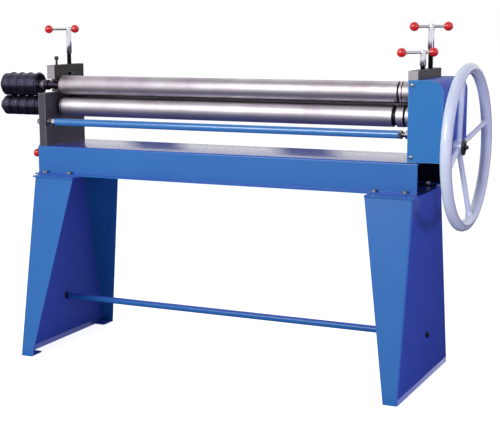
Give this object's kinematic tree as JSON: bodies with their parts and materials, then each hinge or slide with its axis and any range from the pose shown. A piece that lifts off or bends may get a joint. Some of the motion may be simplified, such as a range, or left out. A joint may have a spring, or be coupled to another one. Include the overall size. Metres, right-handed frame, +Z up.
{
  "type": "slip roll machine",
  "caption": "Floor-standing slip roll with geared front rolls, an adjustable rear roll, bead rolls on the left shafts, a spoked handwheel and a folded sheet stand.",
  "frame": {"origin": "on the floor, at the centre of the four anchor holes in the foot tabs", "axes": "+X along the rolls toward the handwheel, +Y toward the rear roll, +Z up"},
  "size_m": [1.9108, 0.606, 1.253],
  "materials": {
    "blue_paint": "gloss blue enamel on sheet steel",
    "ground_steel": "ground bright steel",
    "frame_black": "dark machined cast iron",
    "bar_steel": "dark steel bar with a machined front face",
    "black_oxide": "black oxide tool steel",
    "gear_steel": "machined gear steel",
    "wheel_paint": "pale satin paint",
    "chrome_bright": "bright plated steel",
    "screw_black": "oiled black screw thread",
    "zinc": "zinc plated fasteners",
    "dark_bolt": "dark fasteners",
    "bronze": "bearing bronze",
    "red_knob": "glossy red plastic",
    "black_plastic": "black plastic cap"
  },
  "bodies": {
    "frame": {"left_leg_side": "blue_paint", "left_leg_front_flange": "blue_paint", "left_leg_rear_flange": "blue_paint", "left_leg_top": "blue_paint", "right_leg_side": "blue_paint", "right_leg_front_flange": "blue_paint", "right_leg_rear_flange": "blue_paint", "right_leg_top": "blue_paint", "leg_rod": "blue_paint", "leg_rod_bolts": "dark_bolt", "beam_front_rail": "blue_paint", "beam_rear_rail": "blue_paint", "bench_top": "blue_paint", "beam_bolts": "zinc", "beam_nuts": "zinc", "frame_bolts": "dark_bolt", "left_end_frame": "frame_black", "right_end_frame": "frame_black", "left_top_bar": "bar_steel", "right_top_bar": "bar_steel", "frame_bushes": "bronze", "stay_tube": "blue_paint", "stay_rod": "zinc", "stay_nuts": "zinc", "gear_cover": "blue_paint", "cover_screws": "zinc"},
    "lower_roll": {"lower_roll": "ground_steel", "lower_bead_rolls": "black_oxide", "lower_end_nut": "dark_bolt", "lower_roll_gear": "gear_steel", "drive_gear": "gear_steel"},
    "upper_carriage": {"upper_left_jaw": "gear_steel", "upper_right_block": "gear_steel"},
    "upper_swing": {"upper_ball_bush": "bronze"},
    "upper_roll": {"upper_roll": "ground_steel", "upper_bead_rolls": "black_oxide", "upper_end_nut": "dark_bolt", "upper_roll_gear": "gear_steel"},
    "front_left_screw": {"front_left_screw": "screw_black"},
    "front_right_screw": {"front_right_screw": "screw_black", "front_right_post": "chrome_bright"},
    "front_right_bar": {"front_right_bar": "chrome_bright", "front_right_balls": "red_knob"},
    "rear_carriage": {"rear_blocks": "gear_steel"},
    "rear_roll": {"rear_roll": "ground_steel"},
    "rear_left_screw": {"rear_left_screw": "screw_black", "rear_left_post": "chrome_bright"},
    "rear_left_bar": {"rear_left_bar": "chrome_bright", "rear_left_balls": "red_knob"},
    "rear_right_screw": {"rear_right_screw": "screw_black", "rear_right_post": "chrome_bright"},
    "rear_right_bar": {"rear_right_bar": "chrome_bright", "rear_right_balls": "red_knob"},
    "handwheel": {"handwheel_shaft": "dark_bolt", "handwheel_pinion": "gear_steel", "handwheel_spokes": "wheel_paint", "handwheel_rim": "wheel_paint", "handwheel_cap": "black_plastic"},
    "release_lever": {"release_lever": "dark_bolt", "release_lever_ball": "red_knob"}
  },
  "joints": [
    {"name": "lower_roll_spin", "type": "hinge", "parent": "frame", "child": "lower_roll", "pos_m": [0, 0.005, 0.934], "axis": [1, 0, 0], "continuous": true},
    {"name": "handwheel_spin", "type": "hinge", "parent": "frame", "child": "handwheel", "pos_m": [0.85, 0.005, 0.836], "axis": [1, 0, 0], "continuous": true},
    {"name": "upper_lift", "type": "slide", "parent": "frame", "child": "upper_carriage", "axis": [0, 0, 1], "range_m": [-0.00069, 0.0013]},
    {"name": "front_screw_turn", "type": "hinge", "parent": "upper_carriage", "child": "front_right_screw", "pos_m": [0.72, 0.005, 1.1], "axis": [0, 0, 1], "range_deg": [-100, 190]},
    {"name": "front_left_screw_turn", "type": "hinge", "parent": "upper_carriage", "child": "front_left_screw", "pos_m": [-0.75, 0.005, 1.1], "axis": [0, 0, 1], "range_deg": [-100, 190]},
    {"name": "upper_roll_swing", "type": "hinge", "parent": "upper_carriage", "child": "upper_swing", "pos_m": [0.72, 0.005, 1.016], "axis": [0, 0, 1], "range_deg": [0, 1.5]},
    {"name": "upper_roll_spin", "type": "hinge", "parent": "upper_swing", "child": "upper_roll", "pos_m": [0, 0.005, 1.016], "axis": [1, 0, 0], "continuous": true},
    {"name": "front_bar_slide", "type": "slide", "parent": "front_right_screw", "child": "front_right_bar", "axis": [0.7193, 0.6947, 0], "range_m": [-0.012, 0.053]},
    {"name": "rear_lift", "type": "slide", "parent": "frame", "child": "rear_carriage", "axis": [0, 0, 1], "range_m": [-0.03, 0.01]},
    {"name": "rear_left_screw_turn", "type": "hinge", "parent": "rear_carriage", "child": "rear_left_screw", "pos_m": [-0.75, 0.096, 1.1], "axis": [0, 0, 1], "range_deg": [-4300, 1430]},
    {"name": "rear_right_screw_turn", "type": "hinge", "parent": "rear_carriage", "child": "rear_right_screw", "pos_m": [0.72, 0.096, 1.1], "axis": [0, 0, 1], "range_deg": [-4300, 1430]},
    {"name": "rear_roll_spin", "type": "hinge", "parent": "rear_carriage", "child": "rear_roll", "pos_m": [0, 0.096, 0.972], "axis": [1, 0, 0], "continuous": true},
    {"name": "rear_left_bar_slide", "type": "slide", "parent": "rear_left_screw", "child": "rear_left_bar", "axis": [0.4226, 0.9063, 0], "range_m": [-0.003, 0.062]},
    {"name": "rear_right_bar_slide", "type": "slide", "parent": "rear_right_screw", "child": "rear_right_bar", "axis": [0.848, 0.5299, 0], "range_m": [-0.0325, 0.0325]},
    {"name": "release_lever_turn", "type": "hinge", "parent": "frame", "child": "release_lever", "pos_m": [-0.779, -0.03, 0.85], "axis": [-1, 0, 0], "range_deg": [0, 90]}
  ],
  "couplings": [
    {"joint": "handwheel_spin", "follows": "lower_roll_spin", "ratio": -2.2667},
    {"joint": "upper_roll_spin", "follows": "lower_roll_spin", "ratio": -1},
    {"joint": "front_screw_turn", "follows": "upper_lift", "rad_per_m": 2513.3},
    {"joint": "front_left_screw_turn", "follows": "upper_lift", "rad_per_m": 2513.3},
    {"joint": "rear_lift", "follows": "rear_left_screw_turn", "m_per_rad": 0.00039789},
    {"joint": "rear_right_screw_turn", "follows": "rear_left_screw_turn", "ratio": 1}
  ]
}
